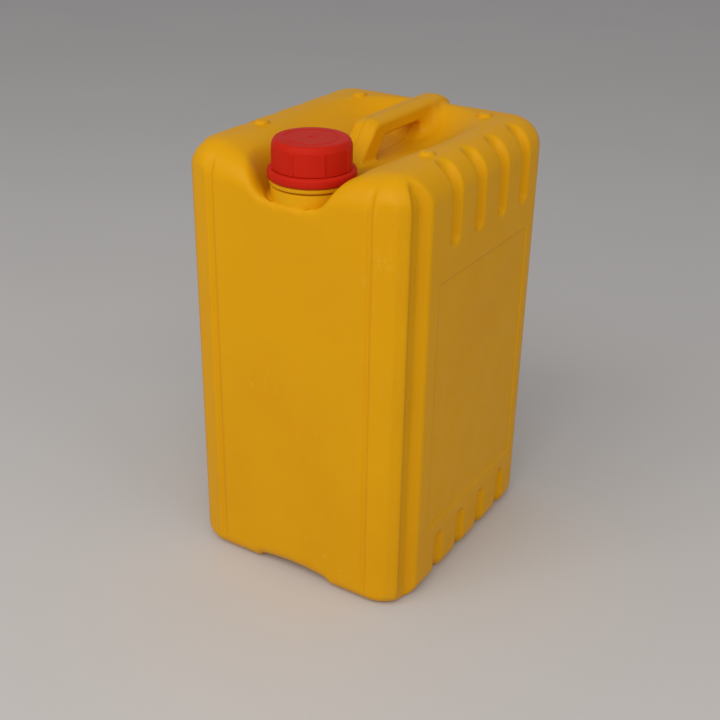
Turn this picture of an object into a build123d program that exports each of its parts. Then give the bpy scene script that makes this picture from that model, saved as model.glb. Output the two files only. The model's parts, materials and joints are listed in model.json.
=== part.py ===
"""A blow-moulded, stackable jerry can with a screw cap, a foam seal and a tamper ring.

Millimetres. The origin is on the floor under the middle of the can. +Z is up, the neck is
towards -Y, and the handle lies along Y over the middle plane x = 0.
"""
import os
from math import atan2, cos, degrees, radians, sin, tan

from build123d import *

# ---- can body: overall sizes ----
width = 224.0             # across X
depth = 254.0             # along Y
rim_height = 391.4        # floor to the flat rim round the top
wall = 2.0                # moulded wall
corner_radius = 33.0      # the four upright corners
top_edge_radius = 26.0
base_edge_radius = 15.0

# ---- neck and closure, about one upright axis ----
bore_radius = 25.0        # mouth
neck_wall = 3.3
neck_height = 42.8        # bowl floor to the lip
thread_height = 1.9       # how far the neck thread stands out
thread_pitch = 6.0
thread_root = 2.6         # width of a thread at its root, and at its crest
thread_crest = 1.1
thread_sunk = 0.3         # how far a thread's root is let into its wall
thread_lift = 5.6         # cap's edge up to where the neck thread starts
thread_lead = 2.7         # lip down to where it ends
collar_out = 6.2          # how far the carrying collar stands out of the neck
collar_thickness = 3.6
collar_gap = 1.0          # free drop of the tamper ring onto the collar
bead_out = 3.4            # and the bead that holds the tamper ring down
bead_height = 2.0
collar_root = 1.0         # how far rings on the neck are sunk into it
lug_angle = 13.5          # four small lugs under the collar, either side of the X axis
lug_length = 2.2
lug_width = 1.2
pedestal_out = 5.2        # wide foot of the neck, up to the lugs
running_gap = 0.45        # clearance between the neck and the closure
cap_wall = 1.7
cap_top = 2.2
cap_height = 23.0         # skirt edge to the top face
cap_bevel_height = 5.0
cap_bevel_width = 3.0
cap_ribs = 8
rib_width = 2.6
rib_height = 1.0
rib_angle = 5.0           # first rib, round from +X
rib_drop = 0.6            # rib ends below the bevel
liner_thickness = 2.0
liner_lap = 0.6           # how far it reaches past the lip
liner_gap = 0.3           # round the liner, in its seat
liner_seat = 1.0          # how far the seat reaches down past the liner
ring_out = 3.65           # how far the tamper ring stands out past the cap's skirt
ring_height = 7.6
ring_wall = 2.2
ring_chamfer = 1.0
ring_overlap = 1.0        # how far the hook and the shelf run into the ring's wall
shelf_thickness = 1.6     # inward shelf along the ring's top
shelf_gap = 0.2           # from the shelf's edge to the skirt's bore
hook_thickness = 2.2      # inward hook of the ring, under the bead
hook_play = 1.3           # lift of the ring before its hook meets the bead
bridge_count = 16
bridge_height = 0.5
bridge_length = 1.0       # outwards from the axis
bridge_width = 1.4
bridge_gap = 0.3          # slit left between the bridges and the cap

# ---- basin in the top, and the handle over it ----
basin_depth = 26.9        # rim down to the floor of the hand hole
basin_side = 40.0         # side face to its edge, at the rim
basin_setback = 30.0      # rear face to its rear end, at the rim
basin_slope = 60.0        # degrees from upright
bowl_depth = 36.4         # rim down to the floor round the neck
bowl_room = 2.0           # round recess about the tamper ring
bowl_side = 38.0          # side face to the trough that runs out through the front face
handle_width = 23.0
handle_rise = 7.0         # top of the bar over the rim
bar_thickness = 14.5
bar_lead = 9.0            # run of the small slope at the front of the bar, and its drop
bar_lead_drop = 2.5
post_top_reach = 80.0     # neck axis to where the bar turns down into the front post
post_foot_reach = 39.0    # and to the post's front at the bowl floor
hole_front_reach = 77.0   # and to the hand hole, at its floor
hole_top_reach = 93.0     # and under the bar
hole_setback = 61.0       # rear face to the hand hole
hole_ease = 6.0           # corners of the hand hole are cut by about this much
handle_setback = 8.0      # rear face to the handle
handle_rear_drop = 12.0
handle_root = 30.0        # how far the posts run down into the can
bowl_roundness = 0.98     # of the trough's inner end, 1 for a half circle

# ---- stacking nubs, base channel ----
nub_radius = 6.3
nub_height = 3.0
nub_places = [(32.0, 78.0), (47.0, 210.5)]    # in from the side face, back from the front
channel_half_width = 37.0
channel_depth = 7.5

# ---- ribs and grooves in the sides ----
panel_line_in = 2.7       # corner rounding to the upright lines that edge the panels
panel_line_radius = 4.0
panel_line_depth = 1.6
facet_ridge = 33.0        # degrees round the front corner to the ridge between its facets
facet_end = 52.0
corner_groove_depth = 8.0
corner_groove_near = 15.0     # back from the front face to its near and far walls
corner_groove_far = 28.0
corner_groove_lead = 7.0
corner_groove_top = 10.0      # rim down to its top end
rib_groove_depth = 6.0
rib_groove_width = 13.0
rib_groove_pitch = 42.0
rib_groove_first = 74.0       # back from the front face
rib_groove_count = 4
upper_groove_length = 66.0    # rim down to the lower end
lower_groove_length = 47.0    # floor up to the upper end
groove_run_in = 24.0          # how far the upper grooves reach in over the top edge
groove_run_slope = 1.1
groove_run_length = 60.0
label_depth = 0.8
label_front = 51.0            # back from the front face
label_rear = 39.0             # rear face to its other end
label_top = 95.0              # rim down to the label panel
label_bottom = 62.0           # floor up to it

# ---- how far cutters run past what they cut ----
beyond = 10.0
below = 5.0

# ---- worked out from the sizes above ----
front = -depth / 2
rear = depth / 2
bowl_floor = rim_height - bowl_depth
basin_floor = rim_height - basin_depth
lip_z = bowl_floor + neck_height
neck_radius = bore_radius + neck_wall
crest_radius = neck_radius + thread_height
skirt_inside = crest_radius + running_gap
skirt_outside = skirt_inside + cap_wall
ring_radius = skirt_outside + ring_out
collar_radius = neck_radius + collar_out
pedestal_radius = neck_radius + pedestal_out
liner_radius = neck_radius + liner_lap
bowl_radius = ring_radius + bowl_room
neck_y = front + ring_radius    # the ring is flush with the front face
cap_top_z = lip_z + liner_thickness + cap_top
skirt_bottom = cap_top_z - cap_height
ring_top = skirt_bottom - bridge_height - bridge_gap
ring_bottom = ring_top - ring_height
collar_top = ring_bottom - collar_gap
collar_low = collar_top - collar_thickness
bead_low = ring_bottom + hook_thickness + hook_play
thread_start = skirt_bottom + thread_lift
thread_turns = (lip_z - thread_lead - thread_start) / thread_pitch
bar_top = rim_height + handle_rise
liner_top = lip_z + liner_thickness
bevel_taper = degrees(atan2(cap_bevel_width, cap_bevel_height))
basin_half_width = width / 2 - basin_side
basin_rear = rear - basin_setback
bowl_half_width = width / 2 - bowl_side
post_foot = neck_y + post_foot_reach
post_top = neck_y + post_top_reach
hole_front = neck_y + hole_front_reach
hole_front_top = neck_y + hole_top_reach
hole_rear = rear - hole_setback
handle_rear = rear - handle_setback
nubs = [(width / 2 - aside, front + back) for aside, back in nub_places]
neck_plane = Plane((0, neck_y, 0))
os.makedirs("parts", exist_ok=True)


def corner_point(angle, radius):
    """A point near the front right corner, angle degrees round from the front face."""
    turn = radians(angle)
    middle = (width / 2 - corner_radius, corner_radius - depth / 2)
    return (middle[0] + radius * sin(turn), middle[1] - radius * cos(turn))


def facet_cutter(inset):
    """What is cut off to leave two flats along each front corner."""
    near = corner_radius - inset
    far = corner_radius + 2 * beyond
    with BuildPart() as cutter:
        for start, end in ((0, facet_ridge), (facet_ridge, facet_end)):
            with BuildSketch(Plane.XY.offset(-below)):
                with BuildLine():
                    Polyline(
                        corner_point(start, near),
                        corner_point(end, near),
                        corner_point(end, far),
                        corner_point(start, far),
                        close=True,
                    )
                make_face()
            extrude(amount=rim_height + 2 * below)
        mirror(about=Plane.YZ)
    return cutter.part


def corner_groove_cutter(inset):
    """One upright groove in each side face, just behind the front corner."""
    floor_x = width / 2 - corner_groove_depth - inset
    outside_x = width / 2 + below
    flare = corner_groove_lead * (outside_x - floor_x) / corner_groove_depth
    near = front + corner_groove_near
    far = front + corner_groove_far
    with BuildPart() as cutter:
        with BuildSketch(Plane.XY.offset(-below)):
            with BuildLine():
                Polyline(
                    (floor_x, far + inset / 2),
                    (floor_x, near - inset / 2),
                    (outside_x, near - inset / 2),
                    (outside_x, far + inset / 2 + flare),
                    close=True,
                )
            make_face()
        extrude(amount=rim_height - corner_groove_top + inset + below)
        mirror(about=Plane.YZ)
    return cutter.part


def rib_groove_cutter(inset):
    """Rows of short upright grooves at the top and the bottom of each side face."""
    half = rib_groove_width / 2
    sink = width / 2 + half - rib_groove_depth
    upper = (rim_height - upper_groove_length, rim_height + 2 * half)
    lower = (-2 * half, lower_groove_length)
    rows = [front + rib_groove_first + step * rib_groove_pitch for step in range(rib_groove_count)]
    with BuildPart() as cutter:
        for low, high in (upper, lower):
            with BuildSketch(Plane.XY.offset(low - inset)):
                with Locations([(sink, y) for y in rows]):
                    Circle(half + inset)
            extrude(amount=high - low + 2 * inset)
        # the upper grooves run on over the top edge
        slant = Plane(
            origin=(sink - groove_run_in, 0, rim_height + half),
            x_dir=(0, 1, 0),
            z_dir=(1, 0, -groove_run_slope),
        )
        with BuildSketch(slant):
            with Locations([(y, 0) for y in rows]):
                Circle(half + inset)
        extrude(amount=groove_run_length)
        mirror(about=Plane.YZ)
    return cutter.part


def label_cutter():
    """A shallow flat panel for a label in each side face."""
    low, high = label_bottom, rim_height - label_top
    near, far = front + label_front, rear - label_rear
    with BuildPart() as cutter:
        with BuildSketch(Plane.YZ.offset(width / 2 - label_depth)):
            with Locations(((near + far) / 2, (low + high) / 2)):
                Rectangle(far - near, high - low)
        extrude(amount=beyond)
        mirror(about=Plane.YZ)
    return cutter.part


def panel_line_cutter():
    """Shallow upright lines that edge the front and back panels."""
    line_x = width / 2 - corner_radius - panel_line_in
    line_y = rear + panel_line_radius - panel_line_depth
    with BuildPart() as cutter:
        with BuildSketch(Plane.XY.offset(base_edge_radius)):
            with GridLocations(2 * line_x, 2 * line_y, 2, 2):
                Circle(panel_line_radius)
        extrude(amount=rim_height - base_edge_radius - top_edge_radius)
    return cutter.part


def shell_form(inset):
    """The can without its neck, as one solid, with every wall moved inwards by inset."""
    floor_z = inset
    top_z = rim_height - inset
    with BuildPart() as form:
        with BuildSketch(Plane.XY.offset(floor_z)):
            RectangleRounded(width - 2 * inset, depth - 2 * inset, corner_radius - inset)
        extrude(amount=top_z - floor_z)
        fillet(form.faces().sort_by(Axis.Z)[-1].edges(), top_edge_radius - inset)
        fillet(form.faces().sort_by(Axis.Z)[0].edges(), base_edge_radius - inset)

        # basin: a tapered recess along the middle, closed at the rear
        slope = tan(radians(basin_slope))
        basin_low = basin_floor - inset
        basin_run = (rim_height - basin_low) * slope
        basin_half = basin_half_width - basin_run + inset
        basin_end = basin_rear - basin_run + inset
        rear_radius = basin_half * bowl_roundness
        with BuildSketch(Plane.XY.offset(basin_low)):
            with Locations((0, (basin_end + neck_y) / 2)):
                RectangleRounded(2 * basin_half, basin_end - neck_y, rear_radius)
        extrude(amount=basin_depth + inset + beyond, taper=-basin_slope, mode=Mode.SUBTRACT)

        # bowl: a deeper tapered recess round the neck, open through the front face
        bowl_low = bowl_floor - inset
        bowl_half = bowl_half_width - bowl_depth * slope + inset
        with BuildSketch(Plane.XY.offset(bowl_low)):
            with Locations((0, neck_y + front)):
                RectangleRounded(2 * bowl_half, 2 * bowl_half + depth, bowl_half * bowl_roundness)
        extrude(amount=bowl_depth + inset + beyond, taper=-basin_slope, mode=Mode.SUBTRACT)
        with BuildSketch(neck_plane.offset(bowl_low)):
            Circle(bowl_radius + inset)
        extrude(amount=bowl_depth + inset + beyond, mode=Mode.SUBTRACT)

        # handle: a bar on two posts, cut from one side profile
        with BuildSketch(Plane.YZ.offset(-handle_width / 2 + inset)):
            with BuildLine():
                Polyline(
                    (post_foot, bowl_floor),
                    (post_top, bar_top - bar_lead_drop),
                    (post_top + bar_lead, bar_top),
                    (handle_rear - handle_rear_drop, bar_top),
                    (handle_rear, bar_top - handle_rear_drop),
                    (handle_rear, basin_floor - handle_root),
                    (post_foot, basin_floor - handle_root),
                    close=True,
                )
            make_face()
            with BuildLine():
                Polyline(
                    (hole_front, basin_floor),
                    (hole_front_top, bar_top - bar_thickness - hole_ease / 2),
                    (hole_front_top + hole_ease, bar_top - bar_thickness),
                    (hole_rear, bar_top - bar_thickness),
                    (hole_rear, basin_floor + hole_ease),
                    (hole_rear - hole_ease, basin_floor),
                    close=True,
                )
            make_face(mode=Mode.SUBTRACT)
            if inset:
                offset(amount=-inset, kind=Kind.INTERSECTION, mode=Mode.REPLACE)
        extrude(amount=handle_width - 2 * inset)

        # channel under the base, so that a can sits over the handle and cap of the one below
        with BuildSketch(Plane.XZ.offset(-depth)):
            with Locations((0, (channel_depth + inset - beyond) / 2)):
                Rectangle(2 * (channel_half_width + inset), channel_depth + inset + beyond)
        extrude(amount=2 * depth, mode=Mode.SUBTRACT)

        add(facet_cutter(inset), mode=Mode.SUBTRACT)
        add(corner_groove_cutter(inset), mode=Mode.SUBTRACT)
        add(rib_groove_cutter(inset), mode=Mode.SUBTRACT)
    return form.part


def threaded(radius, start_z, direction):
    """A right-hand thread that stands out of radius, outwards (1) or inwards (-1)."""
    path = Helix(
        pitch=thread_pitch,
        height=thread_pitch * thread_turns,
        radius=radius,
        center=(0, neck_y, start_z),
    )
    with BuildPart() as ridge:
        with BuildLine():
            add(path)
        with BuildSketch(Plane((radius, neck_y, start_z), x_dir=(1, 0, 0), z_dir=(0, 1, 0))):
            with BuildLine():
                Polyline(
                    (-direction * thread_sunk, -thread_root / 2),
                    (direction * thread_height, -thread_crest / 2),
                    (direction * thread_height, thread_crest / 2),
                    (-direction * thread_sunk, thread_root / 2),
                    close=True,
                )
            make_face()
        sweep(is_frenet=True)
    return ridge.part


def neck_ring(low, high, outside, inside):
    """A plain ring about the neck axis."""
    with BuildPart() as ring:
        with BuildSketch(neck_plane.offset(low)):
            Circle(outside)
            Circle(inside, mode=Mode.SUBTRACT)
        extrude(amount=high - low)
    return ring.part


with BuildPart() as can_body:
    add(shell_form(0))
    add(panel_line_cutter(), mode=Mode.SUBTRACT)
    add(label_cutter(), mode=Mode.SUBTRACT)
    with Locations([(side * x, y, rim_height) for x, y in nubs for side in (1, -1)]):
        Cylinder(nub_radius, 2 * nub_height)
    add(shell_form(wall), mode=Mode.SUBTRACT)
    add(neck_ring(bowl_floor - wall, lip_z, neck_radius, bore_radius))
    add(neck_ring(bowl_floor - wall, collar_low - lug_length, pedestal_radius, neck_radius - collar_root))
    add(neck_ring(collar_low, collar_top, collar_radius, neck_radius - collar_root))
    with BuildSketch(neck_plane.offset(bowl_floor - 3 * wall)):
        Circle(bore_radius)
    extrude(amount=neck_height + 4 * wall, mode=Mode.SUBTRACT)
    # bead: a cone that the ring's hook snaps over
    with BuildSketch(Plane.YZ):
        with BuildLine():
            Polyline(
                (neck_y + neck_radius - collar_root, bead_low),
                (neck_y + neck_radius + bead_out, bead_low),
                (neck_y + neck_radius + bead_out, bead_low + bead_height / 3),
                (neck_y + neck_radius - collar_root, bead_low + bead_height + collar_root),
                close=True,
            )
        make_face()
    revolve(axis=Axis((0, neck_y, 0), (0, 0, 1)))
    # lugs between the collar and the foot of the neck, rooted in the neck
    lug_middle = (neck_radius + pedestal_radius) / 2 - collar_root
    with BuildSketch(neck_plane.offset(collar_low - lug_length)):
        for turn in (lug_angle, -lug_angle, 180 + lug_angle, 180 - lug_angle):
            with PolarLocations(lug_middle, 1, start_angle=turn):
                Rectangle(pedestal_radius - neck_radius, lug_width)
    extrude(amount=lug_length)
    add(threaded(neck_radius, thread_start, 1))
can_body.part.label = "can_body"
export_step(can_body.part, "parts/can_body.step")

# the cap's thread lies midway between the turns of the neck's thread
with BuildPart() as screw_cap:
    with BuildSketch(neck_plane.offset(skirt_bottom)):
        Circle(skirt_outside)
    extrude(amount=cap_height - cap_bevel_height)
    with BuildSketch(neck_plane.offset(cap_top_z - cap_bevel_height)):
        Circle(skirt_outside)
    extrude(amount=cap_bevel_height, taper=bevel_taper)
    with BuildSketch(neck_plane.offset(skirt_bottom)):
        with PolarLocations(skirt_outside, cap_ribs, start_angle=rib_angle):
            Rectangle(2 * rib_height, rib_width)
    extrude(amount=cap_height - cap_bevel_height - rib_drop)
    with BuildSketch(neck_plane.offset(skirt_bottom)):
        Circle(skirt_inside)
    extrude(amount=lip_z - liner_seat - skirt_bottom, mode=Mode.SUBTRACT)
    with BuildSketch(neck_plane.offset(skirt_bottom)):
        Circle(liner_radius + liner_gap)
    extrude(amount=liner_top - skirt_bottom, mode=Mode.SUBTRACT)
    add(threaded(skirt_inside, thread_start - thread_pitch / 2, -1))
screw_cap.part.label = "screw_cap"
export_step(screw_cap.part, "parts/screw_cap.step")

with BuildPart() as cap_liner:
    with BuildSketch(neck_plane.offset(lip_z)):
        Circle(liner_radius)
    extrude(amount=liner_thickness)
cap_liner.part.label = "cap_liner"
export_step(cap_liner.part, "parts/cap_liner.step")

# the ring's hook catches under the neck's bead; its bridges reach up to the cap's skirt
with BuildPart() as tamper_ring:
    add(neck_ring(ring_bottom, ring_top, ring_radius, ring_radius - ring_wall))
    rim = tamper_ring.edges().filter_by(GeomType.CIRCLE).group_by(Axis.Z)[-1]
    chamfer(rim.sort_by(SortBy.RADIUS)[-1], ring_chamfer)
    hook_top = ring_bottom + hook_thickness
    add(neck_ring(ring_bottom, hook_top, ring_radius - ring_overlap, neck_radius + running_gap))
    shelf_bottom = ring_top - shelf_thickness
    add(neck_ring(shelf_bottom, ring_top, ring_radius - ring_overlap, skirt_inside + shelf_gap))
    with BuildSketch(neck_plane.offset(ring_top)):
        with PolarLocations((skirt_inside + skirt_outside) / 2, bridge_count):
            Rectangle(bridge_length, bridge_width)
    extrude(amount=bridge_height)
tamper_ring.part.label = "tamper_ring"
export_step(tamper_ring.part, "parts/tamper_ring.step")
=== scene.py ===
"""The looks of a stackable jerry can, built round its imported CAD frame.

The can's skin is made as one distance field, in millimetres, and meshed with a surface net.
The neck, the cap, the tamper ring and the liner are turned profiles with ribs and threads.
"""
import json
import math

import bpy
import numpy as np
from mathutils import Matrix, Vector


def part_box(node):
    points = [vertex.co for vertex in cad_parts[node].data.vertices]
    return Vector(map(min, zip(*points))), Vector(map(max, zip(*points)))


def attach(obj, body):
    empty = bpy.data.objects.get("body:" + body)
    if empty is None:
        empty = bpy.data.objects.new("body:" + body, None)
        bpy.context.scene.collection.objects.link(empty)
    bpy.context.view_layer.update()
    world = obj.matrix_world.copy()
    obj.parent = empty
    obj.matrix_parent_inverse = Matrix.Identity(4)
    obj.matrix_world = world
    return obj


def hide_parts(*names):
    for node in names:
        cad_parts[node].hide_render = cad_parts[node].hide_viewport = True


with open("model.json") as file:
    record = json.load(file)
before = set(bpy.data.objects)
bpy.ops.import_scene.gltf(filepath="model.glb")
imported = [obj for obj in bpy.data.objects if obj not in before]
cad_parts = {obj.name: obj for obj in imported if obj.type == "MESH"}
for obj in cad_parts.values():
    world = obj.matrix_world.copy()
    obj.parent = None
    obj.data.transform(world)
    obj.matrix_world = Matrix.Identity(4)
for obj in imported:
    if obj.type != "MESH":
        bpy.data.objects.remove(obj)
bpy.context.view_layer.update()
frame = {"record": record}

MM = 0.001

# ---- places taken from the frame, in millimetres ----
can_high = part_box("can_body")[1] / MM
liner_low, liner_high = [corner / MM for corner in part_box("cap_liner")]
cap_low, cap_high = [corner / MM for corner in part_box("screw_cap")]
ring_low, ring_high = [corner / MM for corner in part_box("tamper_ring")]
bore = next(mount for mount in frame["record"]["mounts"] if mount["name"] == "neck_bore")
HALF_WIDTH = can_high.x
HALF_DEPTH = can_high.y
BAR_TOP = can_high.z
NECK_Y = (liner_low.y + liner_high.y) / 2
LIP_Z = liner_low.z
BORE_RADIUS = bore["dims"]["r_mm"]
RING_RADIUS = (ring_high.x - ring_low.x) / 2
LINER_RADIUS = (liner_high.x - liner_low.x) / 2

# ---- the can's own sizes, in millimetres; y runs from the front (-) to the rear, z from the floor ----
RIM = BAR_TOP - 7.0          # flat rim round the top
WALL = 2.5
CORNER_RADIUS = 33.0
TOP_RADIUS = 26.0            # edge of the top
LIP_RADIUS = 18.0            # edge of the top where the basin runs out over the front
SPOUT_RADIUS = 5.0           # and where the bowl does
BASE_RADIUS = 15.0
BASIN_FLOOR = 364.5
BASIN_HALF = 72.0            # half its width at the rim
BASIN_MIDDLE = 10.0          # y of the middle of its rounded rear end
BASIN_LENGTH = 87.0          # from there to its rear end, at the rim
BOWL_FLOOR = 355.0
BOWL_RADIUS = 36.5
HOLE_RADIUS = BORE_RADIUS + 2.0   # hole in the skin under the neck
BAR_HALF = 11.6
GROOVE_ROWS = [-53.0 + 42.0 * row for row in range(4)]
NUBS = [(80.3, -48.8), (64.8, 83.4)]
LABEL_Y = (-76.0, 88.0)
LABEL_Z = (62.0, 297.0)
PANEL_LINE = 76.0
NUB_RADIUS = 6.4
NUB_HEIGHT = 3.0
FACET_CORNERS = [(80.0, -127.0), (97.0, -121.7), (105.6, -113.8)]   # front end, ridge, side end, in plan
GROOVE_FLOOR = 103.8              # x of the corner groove's floor
GROOVE_TOP = 392.0

# ---- the neck and the closure ----
NECK_WALL = 3.3
NECK_RADIUS = BORE_RADIUS + NECK_WALL
COLLAR_RADIUS = 34.5
COLLAR_TOP = ring_low.z - 1.03    # just clear of the dropped ring
THREAD_HEIGHT = 1.9
THREAD_PITCH = 6.0
THREAD_TURNS = 1.75
THREAD_START = LIP_Z - 13.2
RIB_HEIGHT = 1.0
CAP_RIBS = 8
RIB_ANGLE = math.radians(5.1)
CAP_TOP = cap_high.z
SKIRT_EDGE = cap_low.z - 0.5      # only a slit shows over the ring
SKIRT_OUTSIDE = (cap_high.x - cap_low.x) / 2 - RIB_HEIGHT
SKIRT_INSIDE = SKIRT_OUTSIDE - 1.7
SEAT_RADIUS = LINER_RADIUS + 0.3
RING_LOW = ring_low.z
RING_TOP = RING_LOW + 7.6
BRIDGES = 16


# ======== distance field tools ========

def ease(value, low, high):
    """0 at low, 1 at high, and smooth between them."""
    share = np.clip((value - low) / (high - low), 0, 1)
    return share * share * (3 - 2 * share)


def smooth_max(a, b, blend):
    """The greater of two values, eased where they are within blend of each other."""
    overlap = np.maximum(blend - np.abs(a - b), 0) / blend
    return np.maximum(a, b) + overlap ** 2 * blend / 4


def smooth_min(a, b, blend):
    return -smooth_max(-a, -b, blend)


def round_max(a, b, radius):
    """Where two solids meet in an edge of that radius."""
    corner = np.hypot(np.maximum(a + radius, 0), np.maximum(b + radius, 0))
    return np.minimum(np.maximum(a, b), -radius) + corner


def outline_distance(corners, u, v):
    """Signed distance to a closed outline in a plane, negative inside."""
    nearest = np.full(np.broadcast(u, v).shape, np.inf)
    inside = np.zeros(nearest.shape, bool)
    for (u0, v0), (u1, v1) in zip(corners, corners[1:] + corners[:1]):
        run, rise = u1 - u0, v1 - v0
        along = np.clip(((u - u0) * run + (v - v0) * rise) / (run ** 2 + rise ** 2), 0, 1)
        nearest = np.minimum(nearest, np.hypot(u - u0 - along * run, v - v0 - along * rise))
        if rise:
            crosses = (v0 > v) != (v1 > v)
            inside ^= crosses & (u < u0 + run * (v - v0) / rise)
    return np.where(inside, -nearest, nearest)


def line_distance(start, end, u, v):
    """Signed distance to the line through two points, negative on its left."""
    run, rise = end[0] - start[0], end[1] - start[1]
    return ((u - start[0]) * rise - (v - start[1]) * run) / math.hypot(run, rise)


# ======== the can's shape ========

def top_height(x, y):
    """The rim, the basin that holds the handle, and the bowl round the neck."""
    to_front = ease(y, -10, -120)
    valley = BASIN_FLOOR + 2 * to_front
    half = BASIN_HALF - 6 * ease(y, 0, -60) + 10 * ease(y, -85, -127)
    across = (np.abs(x) / half) ** (2 - 0.8 * to_front)
    rear = (np.maximum(y - BASIN_MIDDLE, 0) / BASIN_LENGTH) ** 4
    basin = valley + (RIM - valley) * (across + rear)
    from_neck = np.hypot(x, y - NECK_Y)
    bowl = BOWL_FLOOR + 2.0 * np.maximum(from_neck - BOWL_RADIUS, 0)
    return smooth_min(smooth_min(basin, bowl, 9), RIM, 8)


def top_distance(x, y, z):
    step = 1.0
    slope_x = top_height(x + step, y) - top_height(x - step, y)
    slope_y = top_height(x, y + step) - top_height(x, y - step)
    return (z - top_height(x, y)) / np.sqrt(1 + (slope_x ** 2 + slope_y ** 2) / (2 * step) ** 2)


def plan_distance(x, y, z):
    """The upright walls: a rounded oblong whose panels sink in a little."""
    over_x = np.abs(x) - (HALF_WIDTH - CORNER_RADIUS)
    over_y = np.abs(y) - (HALF_DEPTH - CORNER_RADIUS)
    corner = np.hypot(np.maximum(over_x, 0), np.maximum(over_y, 0))
    plan = corner + np.minimum(np.maximum(over_x, over_y), 0) - CORNER_RADIUS
    tall = ease(z, 20, 90) * ease(z, 370, 300)
    panel = np.clip(1 - (x / 70) ** 2, 0, 1) * ease(np.abs(y), 90, 110)
    ramp = 0.6
    label = ease(np.abs(x), 95, 105)
    for place, (low, high) in ((y, LABEL_Y), (z, LABEL_Z)):
        label = label * ease(place, low - ramp, low + ramp) * ease(place, high + ramp, high - ramp)
    return plan + 0.9 * panel * tall + 0.8 * label


def base_height(x):
    """Two flat feet with an arched channel between them."""
    inside = ease(np.abs(x), 40, 36)
    return inside * (3.5 + 3.5 * np.clip(1 - (x / 38) ** 2, 0, 1))


def block_distance(x, y, z):
    """The can before its grooves and facets, and without its handle."""
    over_front = ease(np.abs(x), 78, 45) * ease(y, -55, -100)
    over_spout = ease(np.abs(x), 36, 14) * ease(y, -55, -100)
    radius = TOP_RADIUS + (LIP_RADIUS - TOP_RADIUS) * over_front
    radius = radius + (SPOUT_RADIUS - LIP_RADIUS) * over_spout
    block = round_max(plan_distance(x, y, z), top_distance(x, y, z), radius)
    return round_max(block, base_height(x) - z, BASE_RADIUS)


def facets(x, y):
    """Two flats along each front corner."""
    start, ridge, end = FACET_CORNERS
    front = line_distance(start, ridge, np.abs(x), y)
    side = line_distance(ridge, end, np.abs(x), y)
    return smooth_max(front, side, 0.6)


def corner_groove(x, y, z):
    """An upright groove in each side, just behind the facets. Negative inside it."""
    out = np.abs(x)
    over = np.clip(z - (RIM - TOP_RADIUS), 0, TOP_RADIUS - 0.5)
    inset = TOP_RADIUS - np.sqrt(TOP_RADIUS ** 2 - over ** 2)
    floor_x = GROOVE_FLOOR - inset + 8 * ease(z, 380, GROOVE_TOP)
    front = line_distance((103.6, -111.6), (108.0, -114.6), out, y)
    rear = line_distance((112.0, -93.5), (103.6, -99.5), out, y)
    groove = smooth_max(smooth_max(front, rear, 2), floor_x - out, 2)
    return round_max(groove, z - GROOVE_TOP, 3)


def groove_cut(block, x, y, z):
    """The short grooves at the top and the foot of each side. Positive inside them."""
    radius, proud, gone = 8.0, 1.6, 9.6
    out = np.abs(x)
    upper = ease(z, 330, 319) + ease(out, 101, 86)
    lower = 0.12 + ease(z, 40, 55) + ease(out, 99, 88)
    lift = proud + gone * np.where(z > 200, upper, lower)
    cut = -np.inf
    for row in GROOVE_ROWS:
        cut = np.maximum(cut, radius - np.hypot(y - row, block - lift))
    return cut


def grooved_distance(x, y, z):
    """The can with its facets and side grooves, and without its handle."""
    block = block_distance(x, y, z)
    grooved = smooth_max(block, facets(x, y), 0.8)
    grooved = smooth_max(grooved, -corner_groove(x, y, z), 3)
    return smooth_max(grooved, groove_cut(block, x, y, z), 2.5)


def handle_distance(x, y, z):
    """A bar on two posts over the basin."""
    crown = 2.6 * (x / BAR_HALF) ** 2
    side = [
        (-50, 356), (-31, 376), (-20, 387), (-12, 396), (-5, BAR_TOP), (104, BAR_TOP),
        (113, BAR_TOP - 2), (120, BAR_TOP - 6.5), (124, BAR_TOP - 13), (118, 374), (100, 356),
    ]
    hole = [
        (-18, 359), (-4, 375.5), (3.5, 383.9), (60, 383.9), (65.5, 380), (67, 373), (56, 360),
        (56, 345), (-18, 345),
    ]
    profile = np.maximum(outline_distance(side, y, z + crown), -outline_distance(hole, y, z))
    return round_max(profile, np.abs(x) - BAR_HALF, 2.4)


def nub_distance(x, y, z):
    """Round nubs on the rim that key into the base of the can above."""
    near = np.inf
    for nub_x, nub_y in NUBS:
        near = np.minimum(near, np.hypot(np.abs(x) - nub_x, y - nub_y))
    return round_max(near - NUB_RADIUS, np.abs(z - RIM) - NUB_HEIGHT, 2.2)


def skin_distance(x, y, z):
    """The outside of the can, without its neck."""
    line = np.clip(1 - np.abs(np.abs(x) - PANEL_LINE) / 4.6, 0, 1)
    fade = ease(np.abs(y), 100, 110) * ease(z, 384, 372) * ease(z, 4, 18)
    skin = grooved_distance(x, y, z) + 1.9 * ease(line, 0, 1) * fade
    skin = smooth_min(skin, nub_distance(x, y, z), 1.6)
    root = 5 + 10 * ease(y, 50, 75) * ease(y, 100, 85)
    return smooth_min(skin, handle_distance(x, y, z), root)


def outside_distance(x, y, z):
    """The outside of the can, with the hole under its neck."""
    well = np.maximum(np.hypot(x, y - NECK_Y) - HOLE_RADIUS, BOWL_FLOOR - 8 - z)
    return np.maximum(skin_distance(x, y, z), -well)


def inside_distance(x, y, z):
    """The hollow of the can, with a chimney up through the same hole."""
    chimney = round_max(np.hypot(x, y - NECK_Y) - HOLE_RADIUS, np.abs(z - BOWL_FLOOR) - 8, 0.5)
    return np.minimum(grooved_distance(x, y, z) + WALL, chimney)


# ======== meshing ========

def stations(*bands):
    """Grid lines from bands of (start, stop, spacing)."""
    lines = [np.linspace(a, b, max(1, round((b - a) / step)), endpoint=False) for a, b, step in bands]
    return np.append(np.concatenate(lines), bands[-1][1])


def mirrored(lines):
    return np.concatenate([-lines[:0:-1], lines])


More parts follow.
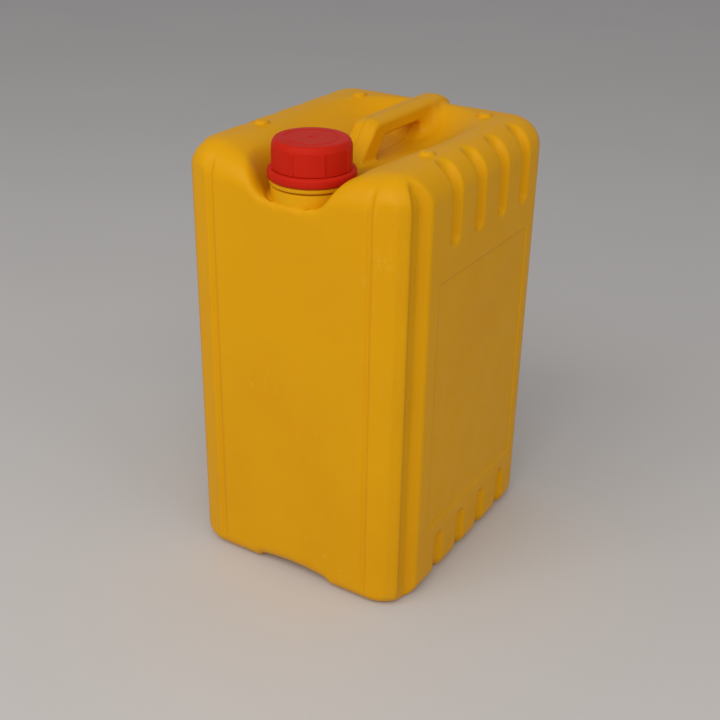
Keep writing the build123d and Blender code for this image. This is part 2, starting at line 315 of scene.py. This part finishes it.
def gradient(distance, points):
    step = 0.05
    slopes = []
    for axis in range(3):
        shift = np.zeros(3)
        shift[axis] = step
        slopes.append(distance(*(points + shift).T) - distance(*(points - shift).T))
    return np.stack(slopes, 1) / (2 * step)


def surface_net(distance, axes):
    """One point per grid cell that the surface passes through, moved onto it, and their quads."""
    grid = np.meshgrid(*axes, indexing="ij", sparse=True)
    values = distance(*grid)
    cells = np.array([len(lines) - 1 for lines in axes])
    sums = np.zeros((cells.prod(), 3))
    counts = np.zeros(cells.prod())
    quads = []
    for axis in range(3):
        low = np.take(values, range(cells[axis]), axis)
        high = np.take(values, range(1, cells[axis] + 1), axis)
        edge = np.argwhere((low < 0) != (high < 0))
        at_low, at_high = low[tuple(edge.T)], high[tuple(edge.T)]
        share = at_low / (at_low - at_high)
        point = np.stack([axes[k][edge[:, k]] for k in range(3)], 1)
        ahead = axes[axis][edge[:, axis] + 1]
        point[:, axis] += share * (ahead - point[:, axis])
        second, third = (axis + 1) % 3, (axis + 2) % 3
        corners = []
        for back_second, back_third in ((1, 1), (0, 1), (0, 0), (1, 0)):
            cell = edge.copy()
            cell[:, second] -= back_second
            cell[:, third] -= back_third
            index = np.ravel_multi_index(cell.T, cells)
            counts += np.bincount(index, minlength=len(counts))
            for k in range(3):
                sums[:, k] += np.bincount(index, point[:, k], len(counts))
            corners.append(index)
        quad = np.stack(corners, 1)
        quads.append(np.where((at_low < 0)[:, None], quad, quad[:, ::-1]))
    used = np.flatnonzero(counts)
    points = sums[used] / counts[used, None]
    faces = np.searchsorted(used, np.concatenate(quads))
    for _ in range(3):
        slope = gradient(distance, points)
        length = np.maximum((slope ** 2).sum(1), 0.2)
        points -= (distance(*points.T) / length)[:, None] * slope
    return points, faces


def drop_faces(points, faces, gone):
    """Leaves out the faces whose centre is in gone, and the points that only they used."""
    kept = faces[~gone(points[faces].mean(1))]
    used, flat = np.unique(kept, return_inverse=True)
    return points[used], flat.reshape(kept.shape)


def open_rims(faces):
    """The closed loops of edges that only one face uses."""
    sides = np.concatenate([faces[:, [k, (k + 1) % 4]] for k in range(4)])
    edges = set(map(tuple, sides.tolist()))
    after = {a: b for a, b in edges if (b, a) not in edges}
    rims = []
    while after:
        rim = [next(iter(after))]
        while rim[-1] in after:
            rim.append(after.pop(rim[-1]))
        rims.append(rim[:-1])
    return rims


def bridge(points, *rims):
    """Triangles between two rims round the neck axis, the upper one first."""
    loops = []
    for rim in sorted(rims, key=lambda rim: -points[rim, 2].mean()):
        angle = np.unwrap(np.arctan2(points[rim, 1] - NECK_Y, points[rim, 0]))
        if angle[-1] < angle[0]:
            rim, angle = rim[::-1], angle[::-1]
        first = int(np.argmin(np.abs((angle + math.pi) % (2 * math.pi) - math.pi)))
        rim = rim[first:] + rim[:first + 1]
        angle = np.unwrap(np.arctan2(points[rim, 1] - NECK_Y, points[rim, 0]))
        loops.append((rim, angle))
    (upper, at_upper), (lower, at_lower) = loops
    i = j = 0
    triangles = []
    while i < len(upper) - 1 or j < len(lower) - 1:
        if j == len(lower) - 1 or (i < len(upper) - 1 and at_upper[i + 1] < at_lower[j + 1]):
            triangles.append([upper[i], upper[i + 1], lower[j]])
            i += 1
        else:
            triangles.append([upper[i], lower[j + 1], lower[j]])
            j += 1
    return triangles


def can_mesh():
    """The skin and the hollow of the can, joined round the hole under its neck."""
    fine = mirrored(stations((0, 70, 2.3), (70, 82, 1.2), (82, 116, 2.2)))
    deep = stations((-131, -78, 2.2), (-78, -74, 1), (-74, 86, 2.35), (86, 90, 1), (90, 131, 2.2))
    tall = stations(
        (-3, 60, 2.4), (60, 64, 1), (64, 292, 7), (292, 300, 1), (300, 318, 3), (318, 402, 2.1),
    )
    points, faces = surface_net(outside_distance, (fine, deep, tall))

    def in_well(centre):
        near = np.hypot(centre[:, 0], centre[:, 1] - NECK_Y) < HOLE_RADIUS + 0.6
        return near & (centre[:, 2] < BOWL_FLOOR - 1.2) & (centre[:, 2] > BOWL_FLOOR - 12)

    def in_chimney(centre):
        near = np.hypot(centre[:, 0], centre[:, 1] - NECK_Y) < HOLE_RADIUS + 3.5
        return near & (centre[:, 2] > BOWL_FLOOR - WALL + 0.8)

    points, faces = drop_faces(points, faces, in_well)
    rough = mirrored(stations((0, 116, 6)))
    rough_deep = stations((-131, 131, 6.5))
    rough_tall = stations((-3, 60, 6), (60, 320, 10), (320, 398, 6))
    inner, inner_faces = surface_net(inside_distance, (rough, rough_deep, rough_tall))
    inner, inner_faces = drop_faces(inner, inner_faces, in_chimney)
    outward = gradient(skin_distance, points)
    inward = -gradient(inside_distance, inner)
    normals = np.concatenate([outward, inward])
    normals /= np.linalg.norm(normals, axis=1)[:, None]
    faces = np.concatenate([faces, inner_faces[:, ::-1] + len(points)])
    points = np.concatenate([points, inner])
    return points, faces.tolist() + bridge(points, *open_rims(faces)), normals


# ======== pieces ========

def add_piece(name, points, faces, body, slot, material, normals=None):
    """A mesh object from points in millimetres, riding on a CAD body."""
    mesh = bpy.data.meshes.new(name)
    corners = [list(map(int, face)) for face in faces]
    mesh.from_pydata((np.asarray(points) * MM).tolist(), [], corners)
    piece = bpy.data.objects.new(name, mesh)
    bpy.context.scene.collection.objects.link(piece)
    mesh.materials.append(material)
    mesh.polygons.foreach_set("use_smooth", np.ones(len(mesh.polygons), bool))
    if normals is not None:
        mesh.normals_split_custom_set_from_vertices(normals.tolist())
    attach(piece, body)
    return piece


def turned(profile, steps, swell=None):
    """Points and quads of a closed profile of (radius, height), turned about the neck axis."""
    radius, height = np.array(profile, float).T
    turn = np.arange(steps)[:, None] * 2 * math.pi / steps
    grown = radius + (swell(turn, radius, height) if swell else 0)
    points = np.stack([grown * np.cos(turn), NECK_Y + grown * np.sin(turn), height + 0 * turn], 2)
    near = np.arange(steps)[:, None] * len(profile)
    ahead = np.roll(near, -1, 0)
    along = np.arange(len(profile))
    beyond = np.roll(along, -1)
    faces = np.stack([near + along, ahead + along, ahead + beyond, near + beyond], 2)
    return points.reshape(-1, 3), faces.reshape(-1, 4)


def helix_ridge(radius, out, start_z, root=2.6, crest=1.1, per_turn=96):
    """A thread standing out of radius by out, fading at both ends."""
    count = round(THREAD_TURNS * per_turn)
    share = np.linspace(0, 1, count + 1)
    turn = 2 * math.pi * THREAD_TURNS * share
    fade = ease(share, 0, 0.08) * ease(share, 1, 0.92)
    sunk = -0.3 if out > 0 else 0.3
    section = [(sunk, -root / 2), (out, -crest / 2), (out, crest / 2), (sunk, root / 2)]
    points = []
    for reach, rise in section:
        r = radius + np.where(reach == sunk, sunk, sunk + (out - sunk) * fade)
        z = start_z + THREAD_PITCH * THREAD_TURNS * share + rise * (0.3 + 0.7 * fade)
        points.append(np.stack([r * np.cos(turn), NECK_Y + r * np.sin(turn), z], 1))
    points = np.stack(points, 1).reshape(-1, 3)
    faces = []
    for i in range(count):
        for k in range(4):
            quad = [4 * i + k, 4 * i + (k + 1) % 4, 4 * i + 4 + (k + 1) % 4, 4 * i + 4 + k]
            faces.append(quad if out > 0 else quad[::-1])
    ends = [[3, 2, 1, 0], [4 * count + k for k in range(4)]]
    faces += ends if out > 0 else [end[::-1] for end in ends]
    return points, faces


def box_round_neck(angle, inner, outer, width, low, high):
    """A small block that stands out from the neck axis at that angle in degrees."""
    along = np.array([math.cos(math.radians(angle)), math.sin(math.radians(angle)), 0])
    across = np.array([-along[1], along[0], 0]) * width / 2
    middle = np.array([0, NECK_Y, 0])
    points = []
    for z in (low, high):
        for reach, side in ((inner, -1), (outer, -1), (outer, 1), (inner, 1)):
            points.append(middle + along * reach + across * side + np.array([0, 0, z]))
    faces = [[3, 2, 1, 0], [4, 5, 6, 7], [0, 1, 5, 4], [1, 2, 6, 5], [2, 3, 7, 6], [3, 0, 4, 7]]
    return np.array(points), faces


def joined(*parts):
    """Several lots of points and faces as one."""
    points, faces, count = [], [], 0
    for part_points, part_faces in parts:
        points.append(part_points)
        faces += [[index + count for index in face] for face in part_faces]
        count += len(part_points)
    return np.concatenate(points), faces


# ======== materials ========

def add_node(tree, kind, inputs=(), **settings):
    """A shader node; an input is a value, or a socket that is linked to it."""
    made = tree.nodes.new(kind)
    for key, value in settings.items():
        setattr(made, key, value)
    for key, value in dict(inputs).items():
        if isinstance(value, bpy.types.NodeSocket):
            tree.links.new(value, made.inputs[key])
        else:
            made.inputs[key].default_value = value
    return made


def add_math(tree, operation, *values):
    return add_node(tree, "ShaderNodeMath", enumerate(values), operation=operation).outputs[0]


def add_range(tree, value, low, high, to_low=0.0, to_high=1.0):
    """Value, eased from one range to another and kept inside it."""
    inputs = {"Value": value, "From Min": low, "From Max": high, "To Min": to_low, "To Max": to_high}
    made = add_node(tree, "ShaderNodeMapRange", inputs, interpolation_type="SMOOTHSTEP")
    return made.outputs["Result"]


def add_noise(tree, place, scale, detail=2.0, distortion=0.0):
    inputs = {"Vector": place, "Scale": scale, "Detail": detail, "Distortion": distortion}
    return add_node(tree, "ShaderNodeTexNoise", inputs).outputs["Fac"]


def add_mix(tree, share, first, second):
    """First colour where share is 0, and second where it is 1."""
    made = add_node(tree, "ShaderNodeMix", data_type="RGBA")
    for socket, value in ((made.inputs[0], share), (made.inputs[6], first), (made.inputs[7], second)):
        if isinstance(value, bpy.types.NodeSocket):
            tree.links.new(value, socket)
        else:
            socket.default_value = value
    return made.outputs[2]


def add_bump(tree, height, distance, strength, below=None):
    inputs = {"Height": height, "Distance": distance, "Strength": strength}
    if below:
        inputs["Normal"] = below
    return add_node(tree, "ShaderNodeBump", inputs).outputs["Normal"]


def new_material(name):
    material = bpy.data.materials.new(name)
    material.use_nodes = True
    return material, material.node_tree, material.node_tree.nodes["Principled BSDF"]


def moulded_plastic(name, colour, shade, worn, roughness, gloss, speck_share, seam):
    """Satin polyethylene: mottled, softly scuffed, with specks and the fine skin of the mould."""
    material, tree, shader = new_material(name)
    place = add_node(tree, "ShaderNodeTexCoord").outputs["Object"]

    mottle = add_range(tree, add_noise(tree, place, 11, 4), 0.35, 0.7)
    body = add_mix(tree, mottle, colour, shade)

    # scuffs: thin contour lines of a stretched noise, kept to patches
    stretching = {"Vector": place, "Rotation": (0.5, 0.3, 0.9), "Scale": (1.0, 5.0, 1.4)}
    stretched = add_node(tree, "ShaderNodeMapping", stretching).outputs[0]
    contour = add_math(tree, "SUBTRACT", add_noise(tree, stretched, 34, 5, 0.6), 0.5)
    line = add_range(tree, add_math(tree, "ABSOLUTE", contour), 0.0, 0.006, 1.0, 0.0)
    patch = add_range(tree, add_noise(tree, place, 21, 2), 0.52, 0.72)
    scuff = add_math(tree, "MULTIPLY", line, patch)
    body = add_mix(tree, add_math(tree, "MULTIPLY", scuff, 0.22), body, worn)

    # specks: a few small pale dots
    cell = add_node(tree, "ShaderNodeTexVoronoi", {"Vector": place, "Scale": 30.0})
    draw = add_node(tree, "ShaderNodeSeparateColor", {"Color": cell.outputs["Color"]}).outputs[0]
    chosen = add_math(tree, "LESS_THAN", draw, speck_share)
    dot = add_range(tree, cell.outputs["Distance"], 0.018, 0.034, 1.0, 0.0)
    speck = add_math(tree, "MULTIPLY", dot, chosen)
    body = add_mix(tree, add_math(tree, "MULTIPLY", speck, 0.75), body, worn)

    rough = add_range(tree, add_noise(tree, place, 46, 4), 0.3, 0.75, roughness - 0.05, roughness + 0.06)
    rough = add_math(tree, "ADD", rough, add_math(tree, "MULTIPLY", scuff, 0.16))

    skin = add_bump(tree, add_noise(tree, place, 2400, 3), 0.00012, 0.35)
    skin = add_bump(tree, add_noise(tree, place, 160, 2), 0.0006, 0.06, skin)
    skin = add_bump(tree, add_noise(tree, place, 14, 1), 0.006, 0.07, skin)
    skin = add_bump(tree, speck, 0.0004, 0.5, skin)
    if seam:
        across = add_node(tree, "ShaderNodeSeparateXYZ", {"Vector": place})
        near = add_range(tree, add_math(tree, "ABSOLUTE", across.outputs["X"]), 0.0003, 0.0011, 1.0, 0.0)
        faint = add_range(tree, across.outputs["Y"], seam[0], seam[1], 0.12, 1.0)
        mark = add_math(tree, "MULTIPLY", near, faint)
        body = add_mix(tree, add_math(tree, "MULTIPLY", mark, 0.3), body, shade)
        skin = add_bump(tree, mark, 0.0007, 0.6, skin)

    tree.links.new(body, shader.inputs["Base Color"])
    tree.links.new(rough, shader.inputs["Roughness"])
    tree.links.new(skin, shader.inputs["Normal"])
    shader.inputs["IOR"].default_value = 1.5
    shader.inputs["Specular IOR Level"].default_value = gloss
    shader.inputs["Subsurface Weight"].default_value = 0.05
    shader.inputs["Subsurface Radius"].default_value = (1.0, 0.45, 0.1)
    shader.inputs["Subsurface Scale"].default_value = 0.004
    return material


def foam(name):
    """Off-white closed-cell foam with fine pores, each darkened with painted shade."""
    material, tree, shader = new_material(name)
    place = add_node(tree, "ShaderNodeTexCoord").outputs["Object"]
    cell = add_node(tree, "ShaderNodeTexVoronoi", {"Vector": place, "Scale": 1100.0})
    pore = add_range(tree, cell.outputs["Distance"], 0.1, 0.45, 1.0, 0.0)
    pale, pore_shade, aged = (0.80, 0.79, 0.75, 1), (0.52, 0.50, 0.46, 1), (0.74, 0.72, 0.66, 1)
    # painted shade: the darker grey mixed in at each pore stands in for the shade inside it
    body = add_mix(tree, add_math(tree, "MULTIPLY", pore, 0.5), pale, pore_shade)
    body = add_mix(tree, add_range(tree, add_noise(tree, place, 90, 3), 0.4, 0.7), body, aged)
    skin = add_bump(tree, pore, 0.0003, 0.6)
    tree.links.new(body, shader.inputs["Base Color"])
    tree.links.new(add_range(tree, pore, 0.0, 1.0, 0.7, 0.9), shader.inputs["Roughness"])
    tree.links.new(skin, shader.inputs["Normal"])
    return material


yellow = moulded_plastic(
    "yellow_polyethylene", (0.77, 0.370, 0.002, 1), (0.745, 0.350, 0.002, 1), (0.93, 0.66, 0.20, 1),
    0.42, 0.10, 0.02, (-0.124, -0.118),
)
red = moulded_plastic(
    "red_polyethylene", (0.60, 0.020, 0.007, 1), (0.56, 0.016, 0.006, 1), (0.80, 0.16, 0.12, 1),
    0.38, 0.05, 0.02, None,
)
white_foam = foam("foam")


# ======== the can and its neck ========

can_points, can_faces, can_normals = can_mesh()
can_skin = add_piece("can_skin", can_points, can_faces, "can", "can_body", yellow, can_normals)
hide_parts("can_body")

neck_profile = [
    (BORE_RADIUS, BOWL_FLOOR - 5), (BORE_RADIUS, LIP_Z - 0.9), (BORE_RADIUS + 0.3, LIP_Z - 0.25),
    (BORE_RADIUS + 1, LIP_Z), (NECK_RADIUS - 0.8, LIP_Z), (NECK_RADIUS - 0.2, LIP_Z - 0.25),
    (NECK_RADIUS, LIP_Z - 0.9), (NECK_RADIUS, ring_low.z + 6.2), (NECK_RADIUS + 3.3, ring_low.z + 4.4),
    (NECK_RADIUS + 3.4, ring_low.z + 3.5), (NECK_RADIUS + 0.1, ring_low.z + 3.5),
    (NECK_RADIUS, COLLAR_TOP), (COLLAR_RADIUS - 0.5, COLLAR_TOP),
    (COLLAR_RADIUS - 0.1, COLLAR_TOP - 0.2), (COLLAR_RADIUS, COLLAR_TOP - 0.7),
    (COLLAR_RADIUS, COLLAR_TOP - 2.9), (COLLAR_RADIUS - 0.3, COLLAR_TOP - 3.4),
    (COLLAR_RADIUS - 0.9, COLLAR_TOP - 3.6), (NECK_RADIUS + 2.6, COLLAR_TOP - 3.7),
    (NECK_RADIUS + 2.4, COLLAR_TOP - 5.0), (COLLAR_RADIUS - 1.8, COLLAR_TOP - 5.1),
    (COLLAR_RADIUS - 1.2, COLLAR_TOP - 5.3), (COLLAR_RADIUS - 1.0, COLLAR_TOP - 5.9),
    (COLLAR_RADIUS - 1.0, BOWL_FLOOR - 3.5),
]
lug_low, lug_high = COLLAR_TOP - 5.2, COLLAR_TOP - 3.2
lugs = [
    box_round_neck(side + turn, NECK_RADIUS + 1, COLLAR_RADIUS - 0.3, 1.2, lug_low, lug_high)
    for side in (0, 180) for turn in (-13.5, 13.5)
]
neck_thread = helix_ridge(NECK_RADIUS, THREAD_HEIGHT, THREAD_START)
neck_finish = add_piece(
    "neck_finish", *joined(turned(neck_profile, 160), neck_thread, *lugs), "can", "can_body", yellow,
)
neck_finish.data.set_sharp_from_angle(angle=math.radians(50))


# ======== the closure ========

def cap_ribs(turn, radius, height):
    """How far the cap's ribs stand out of its skirt."""
    sector = 2 * math.pi / CAP_RIBS
    off = np.abs((turn - RIB_ANGLE + sector / 2) % sector - sector / 2) * SKIRT_OUTSIDE
    upright = ease(height, CAP_TOP - 5.3, CAP_TOP - 6.1) * (radius > SKIRT_OUTSIDE - 0.5)
    return RIB_HEIGHT * ease(off, 1.55, 0.95) * upright


cap_profile = [
    (SKIRT_INSIDE, SKIRT_EDGE + 0.3), (SKIRT_INSIDE + 0.3, SKIRT_EDGE),
    (SKIRT_OUTSIDE - 0.3, SKIRT_EDGE), (SKIRT_OUTSIDE, SKIRT_EDGE + 0.3), (SKIRT_OUTSIDE, SKIRT_EDGE + 4),
] + [
    (SKIRT_OUTSIDE, CAP_TOP - drop) for drop in (14, 10, 7, 6.4, 6.2, 6.0, 5.8, 5.6, 5.4, 5.2)
] + [
    (SKIRT_OUTSIDE - 0.12, CAP_TOP - 4.9), (SKIRT_OUTSIDE - 0.4, CAP_TOP - 3.9),
    (SKIRT_OUTSIDE - 1.0, CAP_TOP - 2.3), (SKIRT_OUTSIDE - 1.7, CAP_TOP - 1.15),
    (SKIRT_OUTSIDE - 2.4, CAP_TOP - 0.4), (SKIRT_OUTSIDE - 3.0, CAP_TOP - 0.08),
    (SKIRT_OUTSIDE - 3.5, CAP_TOP),
    (23.2, CAP_TOP), (22.9, CAP_TOP - 0.3), (20.4, CAP_TOP - 0.3), (20.1, CAP_TOP),
    (3.0, CAP_TOP), (2.6, CAP_TOP - 0.5), (0.02, CAP_TOP - 0.5),
    (0.02, liner_high.z), (SEAT_RADIUS, liner_high.z), (SEAT_RADIUS, LIP_Z - 1),
    (SKIRT_INSIDE, LIP_Z - 1.4),
]
cap_thread = helix_ridge(SKIRT_INSIDE, -THREAD_HEIGHT, THREAD_START - THREAD_PITCH / 2)
cap_shell = add_piece(
    "cap_shell", *joined(turned(cap_profile, 480, cap_ribs), cap_thread), "cap", "cap", red,
)
cap_shell.data.set_sharp_from_angle(angle=math.radians(35))
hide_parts("screw_cap")

ring_profile = [
    (RING_RADIUS - 0.3, RING_LOW), (RING_RADIUS, RING_LOW + 0.4), (RING_RADIUS, RING_TOP - 1.9),
    (RING_RADIUS - 0.25, RING_TOP - 1.2), (RING_RADIUS - 0.8, RING_TOP - 0.5),
    (RING_RADIUS - 1.7, RING_TOP - 0.1),
    (RING_RADIUS - 2.3, RING_TOP), (SKIRT_INSIDE + 0.3, RING_TOP), (SKIRT_INSIDE + 0.3, RING_TOP - 1.5),
    (RING_RADIUS - 2.2, RING_TOP - 1.6), (RING_RADIUS - 2.2, RING_LOW + 2.2),
    (NECK_RADIUS + 0.5, RING_LOW + 2.2), (NECK_RADIUS + 0.5, RING_LOW),
]
bridge_inner, bridge_outer = SKIRT_OUTSIDE - 1.3, SKIRT_OUTSIDE - 0.2
bridge_low, bridge_high = RING_TOP - 0.4, RING_TOP + 0.2
bridges = [
    box_round_neck(360 * (step + 0.5) / BRIDGES, bridge_inner, bridge_outer, 1.3, bridge_low, bridge_high)
    for step in range(BRIDGES)
]
ring_band = add_piece(
    "ring_band", *joined(turned(ring_profile, 240), *bridges), "ring", "cap", red,
)
ring_band.data.set_sharp_from_angle(angle=math.radians(40))
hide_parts("tamper_ring")

liner_profile = [
    (0.02, LIP_Z), (LINER_RADIUS - 0.5, LIP_Z), (LINER_RADIUS, LIP_Z + 0.4),
    (LINER_RADIUS, liner_high.z - 0.4),
    (LINER_RADIUS - 0.5, liner_high.z - 0.02), (0.02, liner_high.z - 0.02),
]
liner_disc = add_piece("liner_disc", *turned(liner_profile, 160), "liner", "liner", white_foam)
liner_disc.data.set_sharp_from_angle(angle=math.radians(40))
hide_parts("cap_liner")


# ======== floor, light and camera ========

def add_floor():
    mesh = bpy.data.meshes.new("floor")
    reach = 6.0
    corners = [(-reach, -reach, 0), (reach, -reach, 0), (reach, reach, 0), (-reach, reach, 0)]
    mesh.from_pydata(corners, [], [(0, 1, 2, 3)])
    floor = bpy.data.objects.new("floor", mesh)
    bpy.context.scene.collection.objects.link(floor)
    material, tree, shader = new_material("floor_paint")
    place = add_node(tree, "ShaderNodeTexCoord").outputs["Object"]
    tone = add_mix(tree, add_noise(tree, place, 3, 3), (0.60, 0.59, 0.585, 1), (0.64, 0.63, 0.62, 1))
    tree.links.new(tone, shader.inputs["Base Color"])
    shader.inputs["Roughness"].default_value = 0.7
    mesh.materials.append(material)


def add_softbox(name, azimuth, elevation, distance, width, height, power, colour):
    """An area light that looks at the middle of the can. Azimuth 0 is in front, and + is to the right."""
    lamp = bpy.data.lights.new(name, "AREA")
    lamp.shape = "RECTANGLE"
    lamp.size, lamp.size_y = width, height
    lamp.energy = power
    lamp.color = colour
    turn, rise = math.radians(azimuth), math.radians(elevation)
    way = Vector((math.sin(turn) * math.cos(rise), -math.cos(turn) * math.cos(rise), math.sin(rise)))
    light = bpy.data.objects.new(name, lamp)
    light.location = Vector((0, 0, RIM * MM / 2)) + way * distance
    light.rotation_euler = way.to_track_quat("Z", "Y").to_euler()
    bpy.context.scene.collection.objects.link(light)


def add_camera():
    """Looks down on the front right corner."""
    camera = bpy.data.cameras.new("camera")
    camera.sensor_width = 36.0
    camera.lens = 56.6
    camera.dof.use_dof = False
    view = bpy.data.objects.new("camera", camera)
    yaw, pitch, roll = math.radians(31.61), math.radians(26.76), math.radians(1.06)
    turn = Matrix.Rotation(yaw, 4, "Z") @ Matrix.Rotation(math.pi / 2 - pitch, 4, "X")
    turn = turn @ Matrix.Rotation(roll, 4, "Z")
    view.matrix_world = Matrix.Translation((0.4919, -0.8121, 0.6464)) @ turn
    bpy.context.scene.collection.objects.link(view)
    bpy.context.scene.camera = view


add_floor()
add_softbox("key", 5, 42, 2.2, 3.0, 1.6, 34, (1.0, 0.97, 0.93))
add_softbox("fill", 75, 35, 2.6, 1.4, 1.4, 7, (0.98, 0.97, 0.96))
world = bpy.data.worlds.new("studio")
bpy.context.scene.world = world
world.use_nodes = True
world.node_tree.nodes["Background"].inputs["Color"].default_value = (0.86, 0.85, 0.86, 1)
world.node_tree.nodes["Background"].inputs["Strength"].default_value = 0.39
bpy.context.scene.view_settings.view_transform = "Standard"
add_camera()
